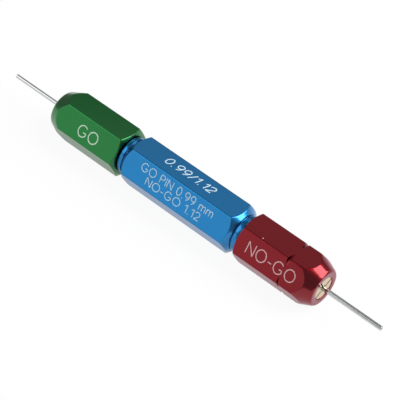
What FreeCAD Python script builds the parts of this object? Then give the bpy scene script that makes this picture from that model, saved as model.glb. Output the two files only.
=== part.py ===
import FreeCAD, Part
import math
import os

os.makedirs("parts", exist_ok=True)

# Double-ended pin gauge: a hexagon handle with a nut, a slotted collet and a pin at each end.
# Millimetres. The gauge lies along X with its middle at the origin: the GO end points to -X, the
# NO-GO end to +X. +Z is the normal of the handle's upper flat. Each end is drawn towards +X, as
# profiles of distance from the middle and radius, and the GO end is then turned half round Z.

# ---- handle ----
handle_across_flats = 11.1125       # 7/16 inch hexagon bar
handle_corner_radius = 0.45         # rounding of the bar's long edges
handle_hexagon_length = 29.5        # between the two shoulders, along a corner
shoulder_length = 1.65              # turned shoulder from the corners down to the groove
shoulder_end_diameter = 9.5
groove_width = 0.3
groove_diameter = 8.8
collar_width = 1.05
collar_diameter = 9.4
collar_edge = 0.1
relief_width = 0.9                  # thread relief between the collar and the thread
relief_diameter = 6.7
spigot_end_chamfer = 0.3
handle_bore_diameter = 1.6          # takes the pins' tails

# ---- thread between the handle and each nut, 5/16 inch and 32 to the inch ----
# The handle's spigot ends at the root of its thread and the nut's bore at the root of the nut's,
# so the two ridges fill the space left between them.
thread_diameter = 7.9375
thread_pitch = 0.79375
thread_height_per_pitch = 0.54

# ---- nuts ----
nut_across_flats = 11.1125
nut_corner_radius = 0.45
nut_length = 21.35
nut_to_collar_gap = 0.27            # left open when the nut is tight
nut_rear_face_diameter = 10.6
nut_rear_chamfer_length = 0.7
nose_face_diameter = 8.66
nose_edge_length = 0.38             # small bevel round the front face
nose_edge_depth = 0.35
nose_length = 4.3                   # from the front face to the end of the full corners
thread_bore_runout = 0.8            # past the end of the spigot when the nut is tight
thread_entry_diameter = 8.5
go_nut_clocking = -2.5              # degrees about X from the handle's flats, when tight
nogo_nut_clocking = 1.5
nogo_ring_from_nose = 8.0           # the NO-GO nut's ring, turned into its corners
nogo_ring_floor_width = 0.4
nogo_ring_floor_diameter = 11.4
nogo_ring_slope = 0.4               # run of the ring's sides for each millimetre of depth

# ---- collets ----
collet_length = 12.7                # 1/2 inch
collet_seat_depth = 0.28            # how far its tail sinks into the end of the handle
collet_recess = 0.1                 # front face below the nut's front face
collet_front_diameter = 5.68
collet_body_diameter = 6.6
collet_edge = 0.12
collet_tail_diameter = 4.2
collet_slots = 4
collet_slot_width = 0.42
collet_slot_length = 9.2
collet_slot_direction = 60.0        # degrees about X, from -Y towards +Z
collet_mouth_diameter = 1.75
nose_cone_length = 4.6

# ---- pins ----
go_pin_diameter = 0.9906            # 0.0390 inch
nogo_pin_diameter = 1.1176          # 0.0440 inch
pin_length = 50.8                   # 2 inches
pin_projection = 15.73              # beyond the nut's front face
pin_edge = 0.08

# ---- clearances ----
collet_fit = 0.05                   # radial, collet body in the nut
cone_seat = 0.02                    # along the radius, between seated cones
pin_fit = 0.02                      # radial, pin in its collet

# ---- worked out from the sizes above: the thread, and stations along one end ----
thread_height = thread_height_per_pitch * thread_pitch
spigot_root_radius = thread_diameter / 2 - thread_height
thread_bore_radius = thread_diameter / 2
shoulder_start = handle_hexagon_length / 2
groove_start = shoulder_start + shoulder_length
collar_start = groove_start + groove_width
collar_end = collar_start + collar_width
nut_rear = collar_end + nut_to_collar_gap
nut_front = nut_rear + nut_length
collet_front = nut_front - collet_recess
collet_rear = collet_front - collet_length
spigot_end = collet_rear + collet_seat_depth
thread_bore_end = spigot_end + thread_bore_runout
pin_tip = nut_front + pin_projection
far = 2 * pin_tip


def vec(x, y, z=0.0):
    return FreeCAD.Vector(x, y, z)


def revolved(points):
    """Solid of revolution about X from the corners of a closed profile, as (x, radius)."""
    corners = [vec(x, radius) for x, radius in points]
    face = Part.Face(Part.makePolygon(corners + corners[:1]))
    return face.revolve(vec(0, 0), vec(1, 0), 360)


def hexagon_bar(across_flats, corner_radius, start, end):
    """Hexagon bar along X with a flat on top and its long edges rounded."""
    corner = across_flats / math.sqrt(3)
    points = []
    for i in range(7):
        angle = math.radians(60 * i)
        points.append(vec(start, corner * math.cos(angle), corner * math.sin(angle)))
    bar = Part.Face(Part.makePolygon(points)).extrude(vec(end - start, 0))
    long_edges = [e for e in bar.Edges if abs(e.tangentAt(e.FirstParameter).x) > 0.99]
    return bar.makeFillet(corner_radius, long_edges)


def turned_about_x(shape, degrees):
    copy = shape.copy()
    copy.rotate(vec(0, 0), vec(1, 0), degrees)
    return copy


def at_go_end(shape):
    """The same shape at the other end: half a turn about Z."""
    copy = shape.copy()
    copy.rotate(vec(0, 0), vec(0, 0, 1), 180)
    return copy


def handle():
    corner = handle_across_flats / math.sqrt(3)
    edge = collar_edge
    end_profile = [
        (0, 0),
        (0, corner),
        (shoulder_start, corner),
        (groove_start, shoulder_end_diameter / 2),
        (groove_start, groove_diameter / 2),
        (collar_start, groove_diameter / 2),
        (collar_start, collar_diameter / 2),
        (collar_end - edge, collar_diameter / 2),
        (collar_end, collar_diameter / 2 - edge),
        (collar_end, relief_diameter / 2),
        (collar_end + relief_width, relief_diameter / 2),
        (collar_end + relief_width, spigot_root_radius),
        (spigot_end - spigot_end_chamfer, spigot_root_radius),
        (spigot_end, spigot_root_radius - spigot_end_chamfer),
        (spigot_end, 0),
    ]
    end = revolved(end_profile)
    # countersink that the collet's tail seats in
    tail = collet_tail_diameter / 2
    body = collet_body_diameter / 2
    seat = revolved([
        (collet_rear - tail, 0),
        (collet_rear, tail + cone_seat),
        (collet_rear + body - tail, body + cone_seat),
        (collet_rear + body - tail, 0),
    ])
    end = end.cut(seat)
    turned = end.fuse(at_go_end(end))
    bar = hexagon_bar(handle_across_flats, handle_corner_radius, -spigot_end, spigot_end)
    bore = Part.makeCylinder(handle_bore_diameter / 2, far, vec(-far / 2, 0), vec(1, 0))
    return turned.common(bar).cut(bore).removeSplitter()


def nut(ring, clocking):
    corner = nut_across_flats / math.sqrt(3)
    face = nose_face_diameter / 2
    edge_start = nut_front - nose_edge_length
    nose_start = nut_front - nose_length
    outside = revolved([
        (nut_rear, 0),
        (nut_rear, nut_rear_face_diameter / 2),
        (nut_rear + nut_rear_chamfer_length, corner),
        (nose_start, corner),
        (edge_start, face + nose_edge_depth),
        (nut_front, face),
        (nut_front, 0),
    ])
    body = outside.common(hexagon_bar(nut_across_flats, nut_corner_radius, nut_rear, nut_front))
    if ring:
        middle = nut_front - nogo_ring_from_nose
        floor = nogo_ring_floor_diameter / 2
        depth = nut_across_flats - floor
        floor_half_width = nogo_ring_floor_width / 2
        mouth_half_width = floor_half_width + nogo_ring_slope * depth
        body = body.cut(revolved([
            (middle - floor_half_width, floor),
            (middle - mouth_half_width, floor + depth),
            (middle + mouth_half_width, floor + depth),
            (middle + floor_half_width, floor),
        ]))
    # inside: thread bore, collet chamber, closing cone and front bore
    front = collet_front_diameter / 2 + cone_seat
    chamber = collet_body_diameter / 2 + collet_fit
    cone_back = collet_front - nose_cone_length
    thread = thread_bore_radius
    entry = thread_entry_diameter / 2
    inside = revolved([
        (nut_rear - entry, 0),
        (nut_rear - entry, entry),
        (nut_rear, entry),
        (nut_rear + entry - thread, thread),
        (thread_bore_end, thread),
        (thread_bore_end + thread - chamber, chamber),
        (cone_back, chamber),
        (cone_back, collet_body_diameter / 2 + cone_seat),
        (collet_front, front),
        (nut_front + entry, front),
        (nut_front + entry, 0),
    ])
    return turned_about_x(body.cut(inside), clocking)


def collet(pin_diameter):
    front = collet_front_diameter / 2
    body = collet_body_diameter / 2
    tail = collet_tail_diameter / 2
    edge = collet_edge
    slope = (body - front) / nose_cone_length
    solid = revolved([
        (collet_rear, 0),
        (collet_rear, tail),
        (collet_rear + body - tail, body),
        (collet_front - nose_cone_length, body),
        (collet_front - edge, front + slope * edge),
        (collet_front, front - edge),
        (collet_front, 0),
    ])
    bore = Part.makeCylinder(pin_diameter / 2 + pin_fit, far, vec(-far / 2, 0), vec(1, 0))
    mouth = collet_mouth_diameter / 2
    countersink = revolved([
        (collet_front - mouth, 0),
        (collet_front, mouth),
        (collet_front + mouth, mouth),
        (collet_front + mouth, 0),
    ])
    solid = solid.cut(bore).cut(countersink)
    for i in range(collet_slots):
        slot = Part.makeBox(
            collet_slot_length + mouth,
            body + mouth,
            collet_slot_width,
            vec(collet_front - collet_slot_length, 0, -collet_slot_width / 2),
        )
        # the box leaves the axis along +Y, so -Y is at 180 degrees and +Z side angles fall from it
        angle = 180 - collet_slot_direction + 360 * i / collet_slots
        solid = solid.cut(turned_about_x(slot, angle))
    return solid


def pin(diameter):
    radius = diameter / 2
    tail = pin_tip - pin_length
    return revolved([
        (tail, 0),
        (tail, radius - pin_edge),
        (tail + pin_edge, radius),
        (pin_tip - pin_edge, radius),
        (pin_tip, radius - pin_edge),
        (pin_tip, 0),
    ])


shapes = {
    "handle": handle(),
    # half a turn about Z keeps a part's top up and reverses its turn about X
    "go_nut": at_go_end(nut(False, -go_nut_clocking)),
    "nogo_nut": nut(True, nogo_nut_clocking),
    "go_collet": at_go_end(collet(go_pin_diameter)),
    "nogo_collet": collet(nogo_pin_diameter),
    "go_pin": at_go_end(pin(go_pin_diameter)),
    "nogo_pin": pin(nogo_pin_diameter),
}

for name, shape in shapes.items():
    box = shape.BoundBox
    print(
        f"{name:12s} solids {len(shape.Solids)} valid {shape.isValid()} volume {shape.Volume:9.2f} mm3 "
        f"x {box.XMin:7.2f} to {box.XMax:7.2f}"
    )
    shape.exportStep(f"parts/{name}.step")

print(f"thread: {thread_pitch} mm a turn, {thread_pitch / (2 * math.pi):.6f} mm per radian")
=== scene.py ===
import math
import bmesh
import bpy
from mathutils import Matrix, Vector


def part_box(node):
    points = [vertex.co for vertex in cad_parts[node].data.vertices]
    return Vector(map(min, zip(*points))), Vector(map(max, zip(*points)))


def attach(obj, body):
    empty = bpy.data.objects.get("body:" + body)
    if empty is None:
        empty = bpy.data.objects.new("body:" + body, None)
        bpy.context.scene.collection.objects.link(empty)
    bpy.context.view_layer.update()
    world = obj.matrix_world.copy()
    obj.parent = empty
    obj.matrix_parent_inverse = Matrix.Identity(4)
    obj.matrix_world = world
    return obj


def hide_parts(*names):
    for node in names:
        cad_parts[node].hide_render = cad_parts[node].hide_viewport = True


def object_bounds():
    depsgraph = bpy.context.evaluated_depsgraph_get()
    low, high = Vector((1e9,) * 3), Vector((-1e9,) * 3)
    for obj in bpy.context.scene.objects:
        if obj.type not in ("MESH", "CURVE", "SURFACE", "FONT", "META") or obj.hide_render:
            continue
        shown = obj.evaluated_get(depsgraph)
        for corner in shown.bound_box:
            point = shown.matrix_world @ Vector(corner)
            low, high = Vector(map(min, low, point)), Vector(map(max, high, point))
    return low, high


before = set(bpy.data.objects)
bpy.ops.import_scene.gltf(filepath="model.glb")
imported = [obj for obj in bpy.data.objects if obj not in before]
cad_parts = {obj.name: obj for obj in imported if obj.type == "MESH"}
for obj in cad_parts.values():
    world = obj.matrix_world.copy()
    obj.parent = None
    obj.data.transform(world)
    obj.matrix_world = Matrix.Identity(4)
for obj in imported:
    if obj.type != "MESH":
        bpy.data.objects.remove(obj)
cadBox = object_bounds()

# Double-ended pin gauge: GO end towards -X, NO-GO end towards +X, upper flat of the handle at +Z.
# Sizes in the dictionaries are millimetres and degrees. Each end is drawn towards +X.
mm = 0.001
hair = 0.001    # in millimetres: points this close are one point
scene = bpy.context.scene


def linear(hexColour):  # an sRGB hex value as the linear colour that shaders use
    parts = [int(hexColour[i:i + 2], 16) / 255 for i in (1, 3, 5)]
    return [c / 12.92 if c <= 0.04045 else ((c + 0.055) / 1.055) ** 2.4 for c in parts] + [1.0]


def addNode(tree, kind, settings=None, links=None):
    node = tree.nodes.new(kind)
    for name, value in (settings or {}).items():
        setattr(node, name, value)
    for key, value in (links or {}).items():
        if isinstance(value, bpy.types.NodeSocket):
            tree.links.new(value, node.inputs[key])
        else:
            node.inputs[key].default_value = value
    return node


def addObject(name, data):
    made = bpy.data.objects.new(name, data)
    scene.collection.objects.link(made)
    return made


def newMaterial(name):  # a material without nodes, and its tree
    material = bpy.data.materials.new(name)
    material.use_nodes = True
    material.node_tree.nodes.clear()
    return material, material.node_tree


def takeShape(holder, tools=()):  # what the holder's modifiers make of it, as a plain mesh
    made = bpy.data.meshes.new_from_object(holder.evaluated_get(bpy.context.evaluated_depsgraph_get()))
    for item in (*tools, holder):
        bpy.data.objects.remove(item)
    return made


def newTree(name, inputs):  # a Geometry Nodes tree with its named inputs and one mesh output
    tree = bpy.data.node_groups.new(name, "GeometryNodeTree")
    for label, kind in inputs.items():
        tree.interface.new_socket(label, in_out="INPUT", socket_type="NodeSocket" + kind)
    tree.interface.new_socket("Mesh", in_out="OUTPUT", socket_type="NodeSocketGeometry")
    return tree, addNode(tree, "NodeGroupInput").outputs


def endTree(tree, mesh, finish):  # realized, merged and in its material
    real = addNode(tree, "GeometryNodeRealizeInstances", links={"Geometry": mesh})
    merged = addNode(tree, "GeometryNodeMergeByDistance", links={
        "Geometry": real.outputs[0], "Distance": hair * mm,
    })
    painted = addNode(tree, "GeometryNodeSetMaterial", links={
        "Geometry": merged.outputs[0], "Material": finish,
    })
    addNode(tree, "NodeGroupOutput", links={"Mesh": painted.outputs[0]})


def runTree(tree, mesh, values):  # what the tree makes of the mesh, as a plain mesh
    holder = addObject("holder", mesh)
    modifier = holder.modifiers.new("tree", "NODES")
    modifier.node_group = tree
    for item in tree.interface.items_tree:
        if item.in_out == "INPUT" and item.name in values:
            modifier[item.identifier] = values[item.name]
    return takeShape(holder)


def turnOutward(mesh):
    work = bmesh.new()
    work.from_mesh(mesh)
    bmesh.ops.recalc_face_normals(work, faces=work.faces)
    work.to_mesh(mesh)
    work.free()
    return mesh


def shadeTurned(mesh, crisp=35):
    # smooth where it was turned round, level on the flats, crisp at edges that turn by more degrees
    mesh.shade_smooth()
    mesh.set_sharp_from_angle(angle=math.radians(crisp))
    holder = addObject("holder", mesh)
    level = holder.modifiers.new("level", "WEIGHTED_NORMAL")
    level.keep_sharp = True
    return takeShape(holder)


def finishPiece(name, mesh, body, slotName, *nodes):  # a plain mesh at the origin, riding on its body
    mesh = shadeTurned(mesh)
    mesh.name = name
    piece = addObject(name, mesh)
    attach(piece, body)
    if nodes:
        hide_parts(*nodes)


anodising = {
    "sealOnFlats": 0.40,     # clear sealed skin over the dye, thinner on the drawn flats
    "sealOnTurned": 0.75,
    "sealRoughness": 0.10,
    "turnedLean": (0.05, 0.15),    # how far a normal leans along the bar where the face was turned
    "lineAcross": 0.05,      # drawn lines along the bar are about 0.01 wide; this coarse, they show
    "lineLength": 4.0,
    "ringPitch": 0.06,       # feed marks of the turning tool
    "ringChange": 50.0,      # a feed mark hardly changes over this distance round the bar
    "grain": 0.12,           # etched grain
    "grainShare": 0.35,      # the rest is tool marks
    "relief": 0.004,
    "bump": 0.15,
    "glossSpread": (-0.04, 0.06),
    "dyeSpread": (0.92, 1.08),     # the dye takes a little unevenly
    "dyeClouds": 90.0,       # to the metre
}


def anodisedAluminium(name, colour, edge, roughness):
    # dyed oxide over bright metal: saturated metal colour, and a glassy skin that turns pale at a glance
    material, tree = newMaterial(name)
    place = addNode(tree, "ShaderNodeTexCoord").outputs["Object"]
    alongBar = addNode(tree, "ShaderNodeMapping", links={
        "Vector": place,
        "Scale": (1 / (anodising["lineLength"] * mm),) + (1 / (anodising["lineAcross"] * mm),) * 2,
    })
    lines = addNode(tree, "ShaderNodeTexNoise", links={
        "Vector": alongBar.outputs[0], "Scale": 1.0, "Detail": 2.0, "Roughness": 0.6,
    })
    roundBar = addNode(tree, "ShaderNodeMapping", links={
        "Vector": place,
        "Scale": (1 / (anodising["ringPitch"] * mm),) + (1 / (anodising["ringChange"] * mm),) * 2,
    })
    rings = addNode(tree, "ShaderNodeTexNoise", links={
        "Vector": roundBar.outputs[0], "Scale": 1.0, "Detail": 2.0, "Roughness": 0.6,
    })
    # turned where the face leans along the bar, drawn where it doesn't
    normal = addNode(tree, "ShaderNodeNewGeometry").outputs["Normal"]
    lean = addNode(tree, "ShaderNodeSeparateXYZ", links={0: normal})
    size = addNode(tree, "ShaderNodeMath", {"operation": "ABSOLUTE"}, {0: lean.outputs["X"]})
    turnedFrom, turnedTo = anodising["turnedLean"]
    turned = addNode(tree, "ShaderNodeMapRange", links={
        "Value": size.outputs[0], "From Min": turnedFrom, "From Max": turnedTo,
    })
    marks = addNode(tree, "ShaderNodeMix", {"data_type": "FLOAT"}, {
        0: turned.outputs[0], 2: lines.outputs[0], 3: rings.outputs[0],
    })
    seal = addNode(tree, "ShaderNodeMapRange", links={
        "Value": turned.outputs[0],
        "To Min": anodising["sealOnFlats"], "To Max": anodising["sealOnTurned"],
    })
    grain = addNode(tree, "ShaderNodeTexNoise", links={
        "Vector": place, "Scale": 1 / (anodising["grain"] * mm), "Detail": 3.0,
    })
    both = addNode(tree, "ShaderNodeMix", {"data_type": "FLOAT"}, {
        0: anodising["grainShare"], 2: marks.outputs[0], 3: grain.outputs[0],
    })
    bump = addNode(tree, "ShaderNodeBump", links={
        "Height": both.outputs[0], "Strength": anodising["bump"], "Distance": anodising["relief"] * mm,
    })
    clouds = addNode(tree, "ShaderNodeTexNoise", links={
        "Vector": place, "Scale": anodising["dyeClouds"], "Detail": 2.0,
    })
    thin, thick = anodising["dyeSpread"]
    shade = addNode(tree, "ShaderNodeMapRange", links={
        "Value": clouds.outputs[0], "To Min": thin, "To Max": thick,
    })
    dye = addNode(tree, "ShaderNodeVectorMath", {"operation": "SCALE"}, {
        0: linear(colour)[:3], "Scale": shade.outputs[0],
    })
    finer, rougher = anodising["glossSpread"]
    gloss = addNode(tree, "ShaderNodeMapRange", links={
        "Value": both.outputs[0], "To Min": roughness + finer, "To Max": roughness + rougher,
    })
    shader = addNode(tree, "ShaderNodeBsdfPrincipled", links={
        "Base Color": dye.outputs[0], "Metallic": 1.0, "Roughness": gloss.outputs[0],
        "Specular Tint": linear(edge), "Normal": bump.outputs[0],
        "Coat Weight": seal.outputs[0], "Coat Roughness": anodising["sealRoughness"],
    })
    addNode(tree, "ShaderNodeOutputMaterial", links={"Surface": shader.outputs[0]})
    return material


turning = {"relief": 0.004, "glossSpread": (-0.06, 0.08)}


def turnedMetal(name, colour, roughness, ringPitch, marks):
    # bare metal off the lathe or grinder: clean colour with fine rings that spread the highlights
    material, tree = newMaterial(name)
    place = addNode(tree, "ShaderNodeTexCoord").outputs["Object"]
    axes = addNode(tree, "ShaderNodeSeparateXYZ", links={0: place})
    across = addNode(tree, "ShaderNodeCombineXYZ", links={"X": axes.outputs["Y"], "Y": axes.outputs["Z"]})
    radius = addNode(tree, "ShaderNodeVectorMath", {"operation": "LENGTH"}, {0: across.outputs[0]})
    ring = addNode(tree, "ShaderNodeCombineXYZ", links={
        "X": axes.outputs["X"], "Y": radius.outputs["Value"],
    })
    rings = addNode(tree, "ShaderNodeTexNoise", links={
        "Vector": ring.outputs[0], "Scale": 1 / (ringPitch * mm), "Detail": 2.0, "Roughness": 0.6,
    })
    bump = addNode(tree, "ShaderNodeBump", links={
        "Height": rings.outputs[0], "Strength": marks, "Distance": turning["relief"] * mm,
    })
    finer, rougher = turning["glossSpread"]
    gloss = addNode(tree, "ShaderNodeMapRange", links={
        "Value": rings.outputs[0], "To Min": roughness + finer, "To Max": roughness + rougher,
    })
    shader = addNode(tree, "ShaderNodeBsdfPrincipled", links={
        "Base Color": linear(colour), "Metallic": 1.0,
        "Roughness": gloss.outputs[0], "Normal": bump.outputs[0],
    })
    addNode(tree, "ShaderNodeOutputMaterial", links={"Surface": shader.outputs[0]})
    return material


frosting = {"grain": 0.05, "bump": 0.4, "relief": 0.01, "metallic": 0.1, "roughness": 0.6}


def laserMark(name, deep, pale):
    # the laser burns most of the dye off and leaves frosted aluminium: pale, matt and grainy,
    # with some dye left between the grains
    material, tree = newMaterial(name)
    place = addNode(tree, "ShaderNodeTexCoord").outputs["Object"]
    frost = addNode(tree, "ShaderNodeTexNoise", links={
        "Vector": place, "Scale": 1 / (frosting["grain"] * mm), "Detail": 3.0,
    })
    shade = addNode(tree, "ShaderNodeMix", {"data_type": "RGBA"}, {
        0: frost.outputs[0], 6: linear(deep), 7: linear(pale),
    })
    bump = addNode(tree, "ShaderNodeBump", links={
        "Height": frost.outputs[0], "Strength": frosting["bump"], "Distance": frosting["relief"] * mm,
    })
    shader = addNode(tree, "ShaderNodeBsdfPrincipled", links={
        "Base Color": shade.outputs[2], "Metallic": frosting["metallic"],
        "Roughness": frosting["roughness"], "Normal": bump.outputs[0],
    })
    addNode(tree, "ShaderNodeOutputMaterial", links={"Surface": shader.outputs[0]})
    return material


finishes = {
    "blue": anodisedAluminium("blue anodised aluminium", "#1277B3", "#FFFFFF", 0.24),
    "green": anodisedAluminium("green anodised aluminium", "#197033", "#FFFFFF", 0.24),
    "red": anodisedAluminium("red anodised aluminium", "#7C0314", "#FFE6F2", 0.24),
    "brass": turnedMetal("turned brass", "#DAC7AA", 0.30, 0.08, 0.5),
    "steel": turnedMetal("ground tool steel", "#C6C7C8", 0.14, 0.05, 0.15),
    "blueMark": laserMark("laser mark in blue", "#A2CBDE", "#E6F4FA"),
    "greenMark": laserMark("laser mark in green", "#A8D2B0", "#EDF7EA"),
    "redMark": laserMark("laser mark in red", "#C48A8E", "#F2D8D8"),
}
print("materials made")


def addGrid(tree, columns, rows):  # a grid of points, with the column and the row of each
    grid = addNode(tree, "GeometryNodeMeshGrid", links={"Vertices X": columns, "Vertices Y": rows})
    index = addNode(tree, "GeometryNodeInputIndex").outputs[0]
    share = addNode(tree, "ShaderNodeMath", {"operation": "DIVIDE"}, {0: index, 1: rows})
    column = addNode(tree, "ShaderNodeMath", {"operation": "FLOOR"}, {0: share.outputs[0]})
    before = addNode(tree, "ShaderNodeMath", {"operation": "MULTIPLY"}, {0: column.outputs[0], 1: rows})
    row = addNode(tree, "ShaderNodeMath", {"operation": "SUBTRACT"}, {0: index, 1: before.outputs[0]})
    return grid.outputs["Mesh"], column.outputs[0], row.outputs[0]


def readProfile(tree, profile, label, row):  # one named value of the profile's point with that number
    value = addNode(tree, "GeometryNodeInputNamedAttribute", {"data_type": "FLOAT"}, {"Name": label})
    found = addNode(tree, "GeometryNodeSampleIndex", {"data_type": "FLOAT", "domain": "POINT"}, {
        "Geometry": profile, "Value": value.outputs[0], "Index": row,
    })
    return found.outputs[0]


def turnedHexagonTree():
    # Hexagon bar turned down to a profile. Each profile point has x, radius, follow and lean:
    # follow 0 is turned round and 1 keeps to the hexagon, and lean is the cone's run per radius.
    tree, given = newTree("turned hexagon bar", {
        "Profile": "Geometry", "Across Flats": "Float", "Corner Radius": "Float",
        "Flat Cuts": "Int", "Corner Steps": "Int", "Finish": "Material",
    })
    corner = addNode(tree, "ShaderNodeMath", {"operation": "DIVIDE"}, {
        0: given["Across Flats"], 1: math.sqrt(3),
    })
    hexagon = addNode(tree, "GeometryNodeCurvePrimitiveCircle", links={
        "Resolution": 6, "Radius": corner.outputs[0],
    })
    cut = addNode(tree, "GeometryNodeSubdivideCurve", links={
        "Curve": hexagon.outputs[0], "Cuts": given["Flat Cuts"],
    })
    section = addNode(tree, "GeometryNodeFilletCurve", {"mode": "POLY"}, {
        "Curve": cut.outputs[0], "Count": given["Corner Steps"], "Radius": given["Corner Radius"],
    }).outputs[0]
    around = addNode(tree, "GeometryNodeAttributeDomainSize", {"component": "CURVE"}, {0: section})
    along = addNode(tree, "GeometryNodeAttributeDomainSize", {"component": "MESH"}, {0: given["Profile"]})
    columns = addNode(tree, "ShaderNodeMath", {"operation": "ADD"}, {
        0: around.outputs["Point Count"], 1: 1.0,
    })
    grid, column, row = addGrid(tree, columns.outputs[0], along.outputs["Point Count"])
    wrapped = addNode(tree, "ShaderNodeMath", {"operation": "MODULO"}, {
        0: column, 1: around.outputs["Point Count"],
    })
    position = addNode(tree, "GeometryNodeInputPosition").outputs[0]
    onSection = addNode(tree, "GeometryNodeSampleIndex", {
        "data_type": "FLOAT_VECTOR", "domain": "POINT",
    }, {"Geometry": section, "Value": position, "Index": wrapped.outputs[0]})
    reach = addNode(tree, "ShaderNodeVectorMath", {"operation": "LENGTH"}, {0: onSection.outputs[0]})
    turnedX = readProfile(tree, given["Profile"], "along", row)
    turnedRadius = readProfile(tree, given["Profile"], "radius", row)
    radius = addNode(tree, "ShaderNodeMix", {"data_type": "FLOAT"}, {
        0: readProfile(tree, given["Profile"], "follow", row), 2: turnedRadius, 3: reach.outputs["Value"],
    })
    rise = addNode(tree, "ShaderNodeMath", {"operation": "SUBTRACT"}, {
        0: radius.outputs[0], 1: turnedRadius,
    })
    x = addNode(tree, "ShaderNodeMath", {"operation": "MULTIPLY_ADD"}, {
        0: rise.outputs[0], 1: readProfile(tree, given["Profile"], "lean", row), 2: turnedX,
    })
    scale = addNode(tree, "ShaderNodeMath", {"operation": "DIVIDE"}, {
        0: radius.outputs[0], 1: reach.outputs["Value"],
    })
    spread = addNode(tree, "ShaderNodeVectorMath", {"operation": "SCALE"}, {
        0: onSection.outputs[0], "Scale": scale.outputs[0],
    })
    flat = addNode(tree, "ShaderNodeSeparateXYZ", links={0: spread.outputs[0]})
    point = addNode(tree, "ShaderNodeCombineXYZ", links={
        "X": x.outputs[0], "Y": flat.outputs["X"], "Z": flat.outputs["Y"],
    })
    shaped = addNode(tree, "GeometryNodeSetPosition", links={
        "Geometry": grid, "Position": point.outputs[0],
    })
    endTree(tree, shaped.outputs[0], given["Finish"])
    return tree


def threadTree():
    # One thread ridge wound round X: a tooth's outline is carried along a helix and fades at both ends.
    tree, given = newTree("thread ridge", {
        "Tooth": "Geometry", "Pitch": "Float", "Turns": "Float", "Steps Per Turn": "Int",
        "Start": "Float", "Root Radius": "Float", "Fade Turns": "Float", "Finish": "Material",
    })
    points = addNode(tree, "GeometryNodeAttributeDomainSize", {"component": "MESH"}, {0: given["Tooth"]})
    steps = addNode(tree, "ShaderNodeMath", {"operation": "MULTIPLY"}, {
        0: given["Turns"], 1: given["Steps Per Turn"],
    })
    last = addNode(tree, "ShaderNodeMath", {"operation": "ROUND"}, {0: steps.outputs[0]})
    columns = addNode(tree, "ShaderNodeMath", {"operation": "ADD"}, {0: last.outputs[0], 1: 1.0})
    grid, column, row = addGrid(tree, columns.outputs[0], points.outputs["Point Count"])
    turn = addNode(tree, "ShaderNodeMath", {"operation": "DIVIDE"}, {
        0: column, 1: given["Steps Per Turn"],
    })
    angle = addNode(tree, "ShaderNodeMath", {"operation": "MULTIPLY"}, {
        0: turn.outputs[0], 1: 2 * math.pi,
    })
    toEnd = addNode(tree, "ShaderNodeMath", {"operation": "SUBTRACT"}, {0: last.outputs[0], 1: column})
    nearest = addNode(tree, "ShaderNodeMath", {"operation": "MINIMUM"}, {0: column, 1: toEnd.outputs[0]})
    fadeSteps = addNode(tree, "ShaderNodeMath", {"operation": "MULTIPLY"}, {
        0: given["Fade Turns"], 1: given["Steps Per Turn"],
    })
    fade = addNode(tree, "ShaderNodeMath", {"operation": "DIVIDE", "use_clamp": True}, {
        0: nearest.outputs[0], 1: fadeSteps.outputs[0],
    })
    tooth = {label: readProfile(tree, given["Tooth"], label, row) for label in ("along", "radius")}
    height = addNode(tree, "ShaderNodeMath", {"operation": "SUBTRACT"}, {
        0: tooth["radius"], 1: given["Root Radius"],
    })
    radius = addNode(tree, "ShaderNodeMath", {"operation": "MULTIPLY_ADD"}, {
        0: height.outputs[0], 1: fade.outputs[0], 2: given["Root Radius"],
    })
    width = addNode(tree, "ShaderNodeMath", {"operation": "MULTIPLY"}, {
        0: tooth["along"], 1: fade.outputs[0],
    })
    climb = addNode(tree, "ShaderNodeMath", {"operation": "MULTIPLY_ADD"}, {
        0: turn.outputs[0], 1: given["Pitch"], 2: given["Start"],
    })
    x = addNode(tree, "ShaderNodeMath", {"operation": "ADD"}, {0: climb.outputs[0], 1: width.outputs[0]})
    cosine = addNode(tree, "ShaderNodeMath", {"operation": "COSINE"}, {0: angle.outputs[0]})
    sine = addNode(tree, "ShaderNodeMath", {"operation": "SINE"}, {0: angle.outputs[0]})
    y = addNode(tree, "ShaderNodeMath", {"operation": "MULTIPLY"}, {
        0: radius.outputs[0], 1: cosine.outputs[0],
    })
    z = addNode(tree, "ShaderNodeMath", {"operation": "MULTIPLY"}, {
        0: radius.outputs[0], 1: sine.outputs[0],
    })
    point = addNode(tree, "ShaderNodeCombineXYZ", links={
        "X": x.outputs[0], "Y": y.outputs[0], "Z": z.outputs[0],
    })
    shaped = addNode(tree, "GeometryNodeSetPosition", links={
        "Geometry": grid, "Position": point.outputs[0],
    })
    endTree(tree, shaped.outputs[0], given["Finish"])
    return tree


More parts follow.
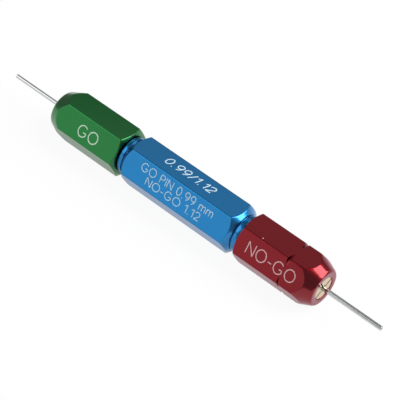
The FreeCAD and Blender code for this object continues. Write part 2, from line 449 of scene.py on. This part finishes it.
def markTree():
    # A ball-nosed cut along each stroke: an oval section swept along the path, rounded off at both ends.
    tree, given = newTree("marking stroke", {
        "Strokes": "Geometry", "Width": "Float", "Depth": "Float", "Step": "Float", "Finish": "Material",
    })
    path = addNode(tree, "GeometryNodeMeshToCurve", links={"Mesh": given["Strokes"]})
    fine = addNode(tree, "GeometryNodeResampleCurve", {"mode": "LENGTH"}, {
        "Curve": path.outputs[0], "Length": given["Step"],
    })
    level = addNode(tree, "GeometryNodeSetCurveNormal", {"mode": "Z_UP"}, {"Curve": fine.outputs[0]})
    here = addNode(tree, "GeometryNodeSplineParameter").outputs["Length"]
    whole = addNode(tree, "GeometryNodeSplineLength").outputs["Length"]
    toEnd = addNode(tree, "ShaderNodeMath", {"operation": "SUBTRACT"}, {0: whole, 1: here})
    nearest = addNode(tree, "ShaderNodeMath", {"operation": "MINIMUM"}, {0: here, 1: toEnd.outputs[0]})
    half = addNode(tree, "ShaderNodeMath", {"operation": "MULTIPLY"}, {0: given["Width"], 1: 0.5})
    share = addNode(tree, "ShaderNodeMath", {"operation": "DIVIDE", "use_clamp": True}, {
        0: nearest.outputs[0], 1: half.outputs[0],
    })
    blunt = 1.02    # above 1, so that a stroke's tip keeps a small face
    left = addNode(tree, "ShaderNodeMath", {"operation": "SUBTRACT"}, {0: 1.0, 1: share.outputs[0]})
    square = addNode(tree, "ShaderNodeMath", {"operation": "MULTIPLY"}, {
        0: left.outputs[0], 1: left.outputs[0],
    })
    rest = addNode(tree, "ShaderNodeMath", {"operation": "SUBTRACT"}, {0: blunt, 1: square.outputs[0]})
    roundOff = addNode(tree, "ShaderNodeMath", {"operation": "SQRT"}, {0: rest.outputs[0]})
    closed = addNode(tree, "GeometryNodeInputSplineCyclic").outputs[0]
    size = addNode(tree, "GeometryNodeSwitch", {"input_type": "FLOAT"}, {
        "Switch": closed, "False": roundOff.outputs[0], "True": 1.0,
    })
    sized = addNode(tree, "GeometryNodeSetCurveRadius", links={
        "Curve": level.outputs[0], "Radius": size.outputs[0],
    })
    oval = addNode(tree, "GeometryNodeCurvePrimitiveCircle", links={"Resolution": 12, "Radius": 1.0})
    stretch = addNode(tree, "ShaderNodeCombineXYZ", links={
        "X": half.outputs[0], "Y": given["Depth"], "Z": 1.0,
    })
    section = addNode(tree, "GeometryNodeTransform", links={
        "Geometry": oval.outputs[0], "Scale": stretch.outputs[0],
    })
    swept = addNode(tree, "GeometryNodeCurveToMesh", links={
        "Curve": sized.outputs[0], "Profile Curve": section.outputs[0], "Fill Caps": True,
    })
    endTree(tree, swept.outputs[0], given["Finish"])
    return tree


def aroundAxisTree():
    # Equal copies of one finger, spaced evenly round X.
    tree, given = newTree("fingers round the axis", {
        "Finger": "Geometry", "Count": "Int", "First Angle": "Float", "Finish": "Material",
    })
    points = addNode(tree, "GeometryNodeMeshLine", links={
        "Count": given["Count"], "Offset": (0.0, 0.0, 0.0),
    })
    index = addNode(tree, "GeometryNodeInputIndex").outputs[0]
    step = addNode(tree, "ShaderNodeMath", {"operation": "DIVIDE"}, {0: 2 * math.pi, 1: given["Count"]})
    angle = addNode(tree, "ShaderNodeMath", {"operation": "MULTIPLY_ADD"}, {
        0: index, 1: step.outputs[0], 2: given["First Angle"],
    })
    turn = addNode(tree, "ShaderNodeCombineXYZ", links={"X": angle.outputs[0]})
    copies = addNode(tree, "GeometryNodeInstanceOnPoints", links={
        "Points": points.outputs[0], "Instance": given["Finger"], "Rotation": turn.outputs[0],
    })
    endTree(tree, copies.outputs[0], given["Finish"])
    return tree


trees = {
    "bar": turnedHexagonTree(),
    "thread": threadTree(),
    "mark": markTree(),
    "around": aroundAxisTree(),
}
print("trees made")


def filled(points):  # points hold x and radius, and follow and lean where they aren't 0
    return [tuple(point) + (0.0,) * (4 - len(point)) for point in points]


def profileMesh(points):
    rows = filled(points)
    mesh = bpy.data.meshes.new("profile")
    links = [(i, i + 1) for i in range(len(rows) - 1)]
    mesh.from_pydata([(i * mm, 0, 0) for i in range(len(rows))], links, [])
    for place, (label, unit) in enumerate((("along", mm), ("radius", mm), ("follow", 1), ("lean", 1))):
        values = mesh.attributes.new(label, "FLOAT", "POINT")
        values.data.foreach_set("value", [row[place] * unit for row in rows])
    return mesh


noseShares = (1, 0.75, 0.5, 0.25, 0)    # rows on a long slope, and on a short one
edgeShares = (0, 0.5, 1)


def coneRows(small, large, shares):
    # rows on a cone that the hexagon cuts: share 0 is turned round, and 1 is on the hexagon
    lean = (large[0] - small[0]) / (large[1] - small[1])
    return [(small[0], small[1], share, lean) for share in shares]


def mirrored(points):
    return [(-x, radius, follow, -lean) for x, radius, follow, lean in filled(reversed(points))]


def atGoEnd(mesh):  # the same piece at the other end: half a turn about Z
    mesh.transform(Matrix.Rotation(math.pi, 4, "Z"))


def lathe(points, steps, finish):  # a loop of x and radius, spun about X
    work = bmesh.new()
    rings = []
    for x, radius in points:
        rings.append([
            work.verts.new((x * mm, radius * mm * math.cos(t), radius * mm * math.sin(t)))
            for t in (2 * math.pi * i / steps for i in range(steps))
        ])
    for a, b in zip(rings, rings[1:] + rings[:1]):
        for i in range(steps):
            work.faces.new((a[i - 1], a[i], b[i], b[i - 1]))
    mesh = bpy.data.meshes.new("lathe")
    work.to_mesh(mesh)
    work.free()
    mesh.materials.append(finish)
    return mesh


# Lettering is drawn on a plane as pen strokes, then cut into a flat.
def arc(centre, size, start, end, steps=14):
    turns = [math.radians(start + (end - start) * i / steps) for i in range(steps + 1)]
    return [(centre[0] + size[0] * math.cos(t), centre[1] + size[1] * math.sin(t)) for t in turns]


def oval(centre, size):
    return arc(centre, size, 90, 450, 36)


# Each letter is its width and its strokes, for a height of 1. Its strokes go to three cutting passes
# in turn, so strokes three places apart may not touch.
letters = {
    "G": (0.86, [
        arc((0.43, 0.5), (0.43, 0.5), 42, 320, 24),
        [(0.8, 0.16), (0.8, 0.43)], [(0.5, 0.43), (0.8, 0.43)],
    ]),
    "O": (0.9, [oval((0.45, 0.5), (0.45, 0.5))]),
    "N": (0.68, [[(0, 0), (0, 1)], [(0, 1), (0.68, 0)], [(0.68, 0), (0.68, 1)]]),
    "P": (0.56, [
        [(0, 0), (0, 1)], [(0, 1), (0.3, 1)], [(0, 0.47), (0.3, 0.47)],
        arc((0.3, 0.735), (0.26, 0.265), 90, -90),
    ]),
    "I": (0.0, [[(0, 0), (0, 1)]]),
    "m": (0.8, [
        [(0, 0), (0, 0.68)],
        arc((0.2, 0.46), (0.2, 0.22), 170, 0), [(0.4, 0.46), (0.4, 0)],
        arc((0.6, 0.46), (0.2, 0.22), 170, 0), [(0.8, 0.46), (0.8, 0)],
    ]),
    "0": (0.58, [oval((0.29, 0.5), (0.29, 0.5))]),
    "1": (0.3, [[(0.3, 0), (0.3, 1)], [(0, 0.76), (0.3, 1)]]),
    "2": (0.58, [
        arc((0.28, 0.71), (0.28, 0.29), 165, -35), [(0.509, 0.544), (0, 0)], [(0, 0), (0.58, 0)],
    ]),
    "9": (0.56, [oval((0.28, 0.69), (0.28, 0.31)), arc((0.1, 0.69), (0.46, 0.69), 0, -76)]),
    "-": (0.34, [[(0, 0.42), (0.34, 0.42)]]),
    "/": (0.34, [[(0, 0), (0.34, 1)]]),
    ".": (0.1, [[(0, 0.02), (0.1, 0.02)]]),
    " ": (0.2, []),
}


marking = {"depth": 0.03, "step": 0.07, "gap": 0.24, "passes": 3}    # the gap is a share of the height
frontFlat, topFlat = 150, 90    # directions of the flats' normals round X, from +Y


def wordPasses(text):  # a word's strokes in passes, fitted to its box on the flat
    left, strokes, slant = 0.0, [], text.get("slant", 0)
    for letter in text["word"]:
        width, drawn = letters[letter]
        for turn, stroke in enumerate(drawn):
            strokes.append((turn % marking["passes"], [(x + left + slant * y, y) for x, y in stroke]))
        left += width + marking["gap"]
    low = min(x for turn, stroke in strokes for x, y in stroke)
    high = max(x for turn, stroke in strokes for x, y in stroke)
    pen, across, up = text["width"], text["across"], text["up"]
    left, wide = across[0] + pen / 2, (across[1] - across[0] - pen) / (high - low)
    base, tall = up[0] + pen / 2, up[1] - up[0] - pen
    fitted = [
        (turn, [(left + (x - low) * wide, base + y * tall) for x, y in stroke])
        for turn, stroke in strokes
    ]
    return [[stroke for turn, stroke in fitted if turn == wanted] for wanted in range(marking["passes"])]


def strokeMesh(strokes):
    points, edges = [], []
    for stroke in strokes:
        closed = math.dist(stroke[0], stroke[-1]) < hair
        first = len(points)
        points += [(x * mm, y * mm, 0) for x, y in (stroke[:-1] if closed else stroke)]
        edges += [(i, i + 1) for i in range(first, len(points) - 1)]
        if closed:
            edges.append((len(points) - 1, first))
    mesh = bpy.data.meshes.new("strokes")
    mesh.from_pydata(points, edges, [])
    return mesh


def ontoFlat(angle, apothem):  # from the drawing plane onto the flat with its normal at that angle
    t = math.radians(angle)
    normal, upward = Vector((0, math.cos(t), math.sin(t))), Vector((0, math.sin(t), -math.cos(t)))
    turn = Matrix((Vector((1, 0, 0)), upward, normal)).transposed().to_4x4()
    turn.translation = normal * apothem * mm
    return turn


def engraver(strokes, width, flat, finish):  # a closed cutter for strokes that don't touch
    cutter = runTree(trees["mark"], strokeMesh(strokes), {
        "Width": width * mm, "Depth": marking["depth"] * mm, "Step": marking["step"] * mm,
        "Finish": finish,
    })
    cutter.transform(ontoFlat(flat, acrossFlats / 2))
    return turnOutward(cutter)


def engravers(texts, finish):
    return [
        engraver(strokes, text["width"], text["flat"], finish)
        for text in texts for strokes in wordPasses(text) if strokes
    ]


beveling = {"angle": 14, "segments": 3}    # edges that turn more than the angle


def dressed(mesh, bevel, cutters=()):  # small bevels on the turned edges, then each cutter taken out
    holder = addObject("holder", turnOutward(mesh))
    edges = holder.modifiers.new("edges", "BEVEL")
    edges.limit_method, edges.angle_limit = "ANGLE", math.radians(beveling["angle"])
    edges.width, edges.segments, edges.use_clamp_overlap = bevel * mm, beveling["segments"], False
    tools = [addObject("cutter", cutter) for cutter in cutters]
    for tool in tools:
        cut = holder.modifiers.new("cut", "BOOLEAN")
        cut.operation, cut.solver, cut.material_mode = "DIFFERENCE", "MANIFOLD", "TRANSFER"
        cut.object = tool
    return joinHairs(takeShape(holder, tools))


def joinHairs(mesh):  # joins what the cutters leave a hair apart, and drops slivers that hang alone
    work = bmesh.new()
    work.from_mesh(mesh)
    bmesh.ops.remove_doubles(work, verts=work.verts, dist=hair * mm)
    bmesh.ops.dissolve_degenerate(work, dist=hair * mm, edges=work.edges)
    alone = [face for face in work.faces if all(len(vert.link_faces) < 3 for vert in face.verts)]
    bmesh.ops.delete(work, geom=alone, context="FACES")
    work.to_mesh(mesh)
    work.free()
    return mesh


handleSizes = {
    "cornerRadius": 0.45,
    "hexagonLength": 29.5,
    "shoulderLength": 1.65,
    "shoulderEnd": 9.5,
    "grooveWidth": 0.3,
    "groove": 8.8,
    "collarWidth": 1.05,
    "collar": 9.4,
    "reliefWidth": 0.9,
    "relief": 6.7,
    "threadDiameter": 7.9375,
    "pitch": 0.79375,
    "threadHeight": 0.4286,
    "spigotChamfer": 0.3,
    "seat": 4.8,             # countersink's mouth, for the collet's tail
    "bore": 1.6,
    "bevel": 0.07,
}
acrossFlats = (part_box("handle")[1].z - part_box("handle")[0].z) / mm
corner = acrossFlats / math.sqrt(3)    # radius to the sharp corners
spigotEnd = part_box("handle")[1].x / mm
rootRadius = handleSizes["threadDiameter"] / 2 - handleSizes["threadHeight"]
barValues = {
    "Across Flats": acrossFlats * mm, "Corner Radius": handleSizes["cornerRadius"] * mm,
    "Flat Cuts": 15, "Corner Steps": 8,
}


def handleEnd():  # one end's profile, from the hexagon to the bore
    s = handleSizes
    shoulder = s["hexagonLength"] / 2
    groove = shoulder + s["shoulderLength"]
    collar = groove + s["grooveWidth"]
    face = collar + s["collarWidth"]
    thread = face + s["reliefWidth"]
    seatDepth = (s["seat"] - s["bore"]) / 2
    return coneRows((groove, s["shoulderEnd"] / 2), (shoulder, corner), noseShares) + [
        (groove, s["groove"] / 2),
        (collar, s["groove"] / 2),
        (collar, s["collar"] / 2),
        (face, s["collar"] / 2),
        (face, s["relief"] / 2),
        (thread, s["relief"] / 2),
        (thread, rootRadius),
        (spigotEnd - s["spigotChamfer"], rootRadius),
        (spigotEnd, rootRadius - s["spigotChamfer"]),
        (spigotEnd, s["seat"] / 2),
        (spigotEnd - seatDepth, s["bore"] / 2),
    ]


handleText = [
    {"word": "0.99/1.12", "width": 0.27, "slant": 0.25,
     "flat": topFlat, "across": (-7.35, 7.0), "up": (-0.9, 1.4)},
    {"word": "GO PIN 0.99 mm", "width": 0.2,
     "flat": frontFlat, "across": (-10.85, 10.5), "up": (0.3, 2.44)},
    {"word": "NO-GO 1.12", "width": 0.2,
     "flat": frontFlat, "across": (-8.3, 7.85), "up": (-2.1, -0.04)},
]


def makeHandle():
    end = handleEnd()
    loop = mirrored(end) + end
    body = runTree(trees["bar"], profileMesh(loop + loop[:1]), {**barValues, "Finish": finishes["blue"]})
    mesh = dressed(body, handleSizes["bevel"], engravers(handleText, finishes["blueMark"]))
    finishPiece("handleBody", mesh, "handle", "handle_blue", "handle")


makeHandle()
print("handle made")


nutSizes = {
    "rearFace": 10.6,
    "rearChamfer": 0.7,
    "noseLength": 4.3,
    "noseFace": 8.66,
    "noseEdge": (0.38, 0.35),    # run and rise of the bevel round the face
    "frontBore": 5.72,
    "chamber": 6.7,
    "chamberDepth": 4.7,
    "threadRunout": 0.8,
    "entry": 8.5,
    "bevel": 0.1,
}
ringSizes = {"fromNose": 8.0, "floorWidth": 0.4, "floor": 11.4, "slope": 0.4, "steps": 96}
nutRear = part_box("nogo_nut")[0].x / mm
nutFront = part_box("nogo_nut")[1].x / mm


def nutProfile():
    s = nutSizes
    run, rise = s["noseEdge"]
    threadEnd = spigotEnd + s["threadRunout"]
    bore = handleSizes["threadDiameter"] / 2
    entry = s["entry"] / 2
    return [(nutRear, entry)] + coneRows(
        (nutRear, s["rearFace"] / 2), (nutRear + s["rearChamfer"], corner), edgeShares
    ) + coneRows(
        (nutFront - run, s["noseFace"] / 2 + rise), (nutFront - s["noseLength"], corner), noseShares
    ) + [
        (nutFront, s["noseFace"] / 2),
        (nutFront, s["frontBore"] / 2),
        (nutFront - s["chamberDepth"], s["chamber"] / 2),
        (threadEnd + bore - s["chamber"] / 2, s["chamber"] / 2),
        (threadEnd, bore),
        (nutRear + entry - bore, bore),
        (nutRear, entry),
    ]


def ringCutter():  # a plain turned ring that only reaches the six corners
    s = ringSizes
    middle = nutFront - s["fromNose"]
    floor, outside = s["floor"] / 2, acrossFlats
    half = s["floorWidth"] / 2
    wide = half + s["slope"] * (outside - floor)
    return turnOutward(lathe([
        (middle - half, floor), (middle + half, floor),
        (middle + wide, outside), (middle - wide, outside),
    ], s["steps"], finishes["red"]))


nuts = {
    "go": {
        "finish": "green", "slot": "nut_green", "clocking": -2.5, "ring": False,
        "text": {"word": "GO", "width": 0.28,
                 "flat": frontFlat, "across": (-30.1, -23.95), "up": (-1.8, 1.23)},
        "nick": None,
    },
    "nogo": {
        "finish": "red", "slot": "nut_red", "clocking": 1.5, "ring": True,
        "text": {"word": "NO-GO", "width": 0.24,
                 "flat": frontFlat, "across": (21.2, 34.62), "up": (-1.5, 1.55)},
        "nick": {"line": [(23.47, -2.52), (23.63, -2.74)], "width": 0.24, "flat": topFlat},
    },
}


def makeNut(end):
    n = nuts[end]
    mark, nick = finishes[n["finish"] + "Mark"], n["nick"]
    dyed = {**barValues, "Finish": finishes[n["finish"]]}
    body = runTree(trees["bar"], profileMesh(nutProfile()), dyed)
    if end == "go":
        atGoEnd(body)
    cutters = [ringCutter()] if n["ring"] else []
    cutters += engravers([n["text"]], mark)
    if nick:
        cutters.append(engraver([nick["line"]], nick["width"], nick["flat"], mark))
    mesh = dressed(body, nutSizes["bevel"], cutters)
    mesh.transform(Matrix.Rotation(math.radians(n["clocking"]), 4, "X"))
    finishPiece(end + "NutBody", mesh, end + "_nut", n["slot"], end + "_nut")


for end in nuts:
    makeNut(end)
print("nuts made")


threadSizes = {
    "start": -8.4,           # from the end of the spigot, as the ridges' own ends are
    "fadeTurns": 0.6,
    "stepsPerTurn": 48,
    "sink": 0.02,            # how far each ridge starts inside the metal that carries it
    "spigot": {"crest": 3.87, "rootWidth": 0.58, "crestWidth": 0.2, "end": -0.2, "phase": 0},
    "nut": {"crest": 3.64, "rootWidth": 0.6, "crestWidth": 0.22, "end": 0.4, "phase": 0.5},
}


def makeRidge(ridge, root, finish):
    # phase turns the helix by a share of a turn, so that the nut's ridge lies in the handle's groove
    t, pitch = threadSizes, handleSizes["pitch"]
    foot, top = ridge["rootWidth"] / 2, ridge["crestWidth"] / 2
    start, end = spigotEnd + t["start"], spigotEnd + ridge["end"]
    tooth = profileMesh([
        (-foot, root), (-top, ridge["crest"]), (top, ridge["crest"]), (foot, root), (-foot, root),
    ])
    mesh = runTree(trees["thread"], tooth, {
        "Pitch": pitch * mm, "Turns": (end - start) / pitch, "Steps Per Turn": t["stepsPerTurn"],
        "Start": start * mm, "Root Radius": root * mm, "Fade Turns": t["fadeTurns"], "Finish": finish,
    })
    mesh.transform(Matrix.Rotation(ridge["phase"] * 2 * math.pi, 4, "X"))
    return turnOutward(mesh)


def makeThreads(end):
    t, n = threadSizes, nuts[end]
    bore = handleSizes["threadDiameter"] / 2
    spigot = makeRidge(t["spigot"], rootRadius - t["sink"], finishes["blue"])
    inNut = makeRidge(t["nut"], bore + t["sink"], finishes[n["finish"]])
    if end == "go":
        atGoEnd(spigot)
        atGoEnd(inNut)
    finishPiece(end + "SpigotThread", spigot, "handle", "handle_blue")
    finishPiece(end + "NutThread", inNut, end + "_nut", n["slot"])


for end in nuts:
    makeThreads(end)
print("threads made")


colletSizes = {
    "body": 6.6, "front": 5.68, "cone": 4.6, "edge": 0.12, "tail": 4.2,
    "slots": 4, "slotWidth": 0.42, "slotLength": 9.2, "slotDirection": 120,
    "mouth": 1.75, "boreFit": 0.02,
    "coneAtEdge": 0.01,      # the cone's extra radius where the front edge starts
    "bevel": 0.02, "fingerSteps": 12, "tailSteps": 96,
}
pinSizes = {
    "edge": 0.08, "bevel": 0.01, "steps": 48,
    "hole": 0.25,            # share of the radius: the lathe leaves a fine hole along the axis
}


def fingerMesh(front, boreRadius):
    s = colletSizes
    back = front - s["slotLength"]
    mouth = s["mouth"] / 2
    loop = [
        (back, s["body"] / 2), (front - s["cone"], s["body"] / 2),
        (front - s["edge"], s["front"] / 2 + s["coneAtEdge"]), (front, s["front"] / 2 - s["edge"]),
        (front, mouth), (front - mouth + boreRadius, boreRadius), (back, boreRadius),
    ]
    steps, quarter = s["fingerSteps"], math.pi / s["slots"]
    work = bmesh.new()
    fan = []
    for i in range(steps + 1):
        ring = []
        for x, radius in loop:
            half = quarter - math.asin(s["slotWidth"] / 2 / radius)
            t = half * (2 * i / steps - 1)
            ring.append(work.verts.new((x * mm, radius * mm * math.cos(t), radius * mm * math.sin(t))))
        fan.append(ring)
    for a, b in zip(fan, fan[1:]):
        for j in range(len(loop)):
            work.faces.new((a[j - 1], a[j], b[j], b[j - 1]))
    for side in (fan[0], fan[-1]):
        work.faces.new(side)
    mesh = bpy.data.meshes.new("finger")
    work.to_mesh(mesh)
    work.free()
    return mesh


def makeCollet(end):
    s = colletSizes
    low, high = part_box("nogo_collet")
    front, rear = high.x / mm, low.x / mm
    boreRadius = pinRadius(end) + s["boreFit"]
    fingers = runTree(trees["around"], fingerMesh(front, boreRadius), {
        "Count": s["slots"], "First Angle": math.radians(s["slotDirection"] + 180 / s["slots"]),
        "Finish": finishes["brass"],
    })
    body, tail = s["body"] / 2, s["tail"] / 2
    back = front - s["slotLength"]
    base = lathe([
        (rear, boreRadius), (rear, tail), (rear + body - tail, body), (back, body), (back, boreRadius),
    ], s["tailSteps"], finishes["brass"])
    joined = bmesh.new()
    joined.from_mesh(fingers)
    joined.from_mesh(base)
    mesh = bpy.data.meshes.new("collet")
    joined.to_mesh(mesh)
    joined.free()
    mesh.materials.append(finishes["brass"])
    mesh = dressed(mesh, s["bevel"])
    if end == "go":
        atGoEnd(mesh)
    finishPiece(end + "ColletBody", mesh, end + "_collet", "collet_brass", end + "_collet")


def pinRadius(end):
    low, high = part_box(end + "_pin")
    return (high.z - low.z) / 2 / mm


def makePin(end):
    low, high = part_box("nogo_pin")
    tail, tip = low.x / mm, high.x / mm
    radius, edge = pinRadius(end), pinSizes["edge"]
    hole = radius * pinSizes["hole"]
    mesh = lathe([
        (tail, hole), (tail, radius - edge), (tail + edge, radius), (tip - edge, radius),
        (tip, radius - edge), (tip, hole),
    ], pinSizes["steps"], finishes["steel"])
    mesh = dressed(mesh, pinSizes["bevel"])
    if end == "go":
        atGoEnd(mesh)
    finishPiece(end + "PinBody", mesh, end + "_pin", "pin_steel", end + "_pin")


for end in nuts:
    makeCollet(end)
    makePin(end)
print("collets and pins made")


studio = {
    "floorSize": 3.0,        # in metres
    "paper": "#F6F6F6",
    "roomLevel": 0.28,
    "glow": 0.93,
    "glowInMetal": 0.6,
    "cameraPlace": (158.72, -219.09, 255.48),
    "cameraAim": (3.01, 0.66, 0.0),
    "cameraRoll": 8.73,
    "lens": 148.5,
    "lamps": {  # softboxes: azimuth and height in degrees, distance and size in metres
        "keyBox": {"azimuth": 125, "height": 44, "distance": 0.5, "size": (0.39, 0.39), "level": 6.0},
        "frontBox": {"azimuth": -47, "height": 42, "distance": 0.6, "size": (0.42, 0.36), "level": 1.6},
        "frontWall": {"azimuth": -42, "height": 10, "distance": 0.6, "size": (0.62, 0.20), "level": 0.95},
        "topBox": {"azimuth": -145, "height": 47, "distance": 0.6, "size": (0.26, 0.20), "level": 0.48},
        "backWall": {"azimuth": 165, "height": 8, "distance": 0.6, "size": (0.50, 0.17), "level": 0.55},
    },
}


def makeFloor():
    half = studio["floorSize"] / 2
    level = cadBox[0].z
    mesh = bpy.data.meshes.new("floor")
    corners = [(-half, -half, level), (half, -half, level), (half, half, level), (-half, half, level)]
    mesh.from_pydata(corners, [], [(0, 1, 2, 3)])
    floor = addObject("floor", mesh)
    material, tree = newMaterial("white paper")
    paper = addNode(tree, "ShaderNodeBsdfDiffuse", links={"Color": linear(studio["paper"])})
    glow = addNode(tree, "ShaderNodeEmission", links={"Color": (1, 1, 1, 1), "Strength": 1.0})
    # most of the white shows by itself, and the rest leaves room for the shadow
    ray = addNode(tree, "ShaderNodeLightPath")
    inGloss = addNode(tree, "ShaderNodeMath", {"operation": "ADD", "use_clamp": True}, {
        0: ray.outputs["Is Glossy Ray"], 1: ray.outputs["Is Transmission Ray"],
    })
    inMetal = addNode(tree, "ShaderNodeMath", {"operation": "MULTIPLY"}, {
        0: inGloss.outputs[0], 1: studio["glowInMetal"],
    })
    share = addNode(tree, "ShaderNodeMath", {"operation": "MULTIPLY_ADD", "use_clamp": True}, {
        0: ray.outputs["Is Camera Ray"], 1: studio["glow"], 2: inMetal.outputs[0],
    })
    mixed = addNode(tree, "ShaderNodeMixShader", links={
        0: share.outputs[0], 1: paper.outputs[0], 2: glow.outputs[0],
    })
    addNode(tree, "ShaderNodeOutputMaterial", links={"Surface": mixed.outputs[0]})
    mesh.materials.append(material)


def makeWorld():
    world = bpy.data.worlds.new("studio")
    scene.world = world
    world.use_nodes = True
    tree = world.node_tree
    tree.nodes.clear()
    room = addNode(tree, "ShaderNodeBackground", links={
        "Color": (1, 1, 1, 1), "Strength": studio["roomLevel"],
    })
    white = addNode(tree, "ShaderNodeBackground", links={"Color": (1, 1, 1, 1), "Strength": 1.0})
    ray = addNode(tree, "ShaderNodeLightPath")
    mixed = addNode(tree, "ShaderNodeMixShader", links={
        0: ray.outputs["Is Camera Ray"], 1: room.outputs[0], 2: white.outputs[0],
    })
    addNode(tree, "ShaderNodeOutputWorld", links={"Surface": mixed.outputs[0]})


def makeLamps():
    for name, lamp in studio["lamps"].items():
        light = bpy.data.lights.new(name, "AREA")
        light.shape, light.size, light.size_y = "RECTANGLE", *lamp["size"]
        # level 1 is as bright as white paper
        light.energy = lamp["level"] * math.pi * light.size * light.size_y
        holder = addObject(name, light)
        around, up = math.radians(lamp["azimuth"]), math.radians(lamp["height"])
        away = Vector((math.sin(around) * math.cos(up), -math.cos(around) * math.cos(up), math.sin(up)))
        holder.location = away * lamp["distance"]
        holder.rotation_euler = away.to_track_quat("Z", "Y").to_euler()
        holder.visible_camera = False


def makeCamera():
    data = bpy.data.cameras.new("camera")
    data.lens, data.sensor_width = studio["lens"], 36.0
    data.clip_start, data.clip_end = 0.01, 20.0
    camera = addObject("camera", data)
    place, aim = Vector(studio["cameraPlace"]) * mm, Vector(studio["cameraAim"]) * mm
    look = (aim - place).to_track_quat("-Z", "Y").to_matrix().to_4x4()
    roll = Matrix.Rotation(math.radians(studio["cameraRoll"]), 4, "Z")
    camera.matrix_world = Matrix.Translation(place) @ look @ roll
    scene.camera = camera


makeFloor()
makeWorld()
makeLamps()
makeCamera()
scene.view_settings.view_transform = "Standard"
print("studio made")
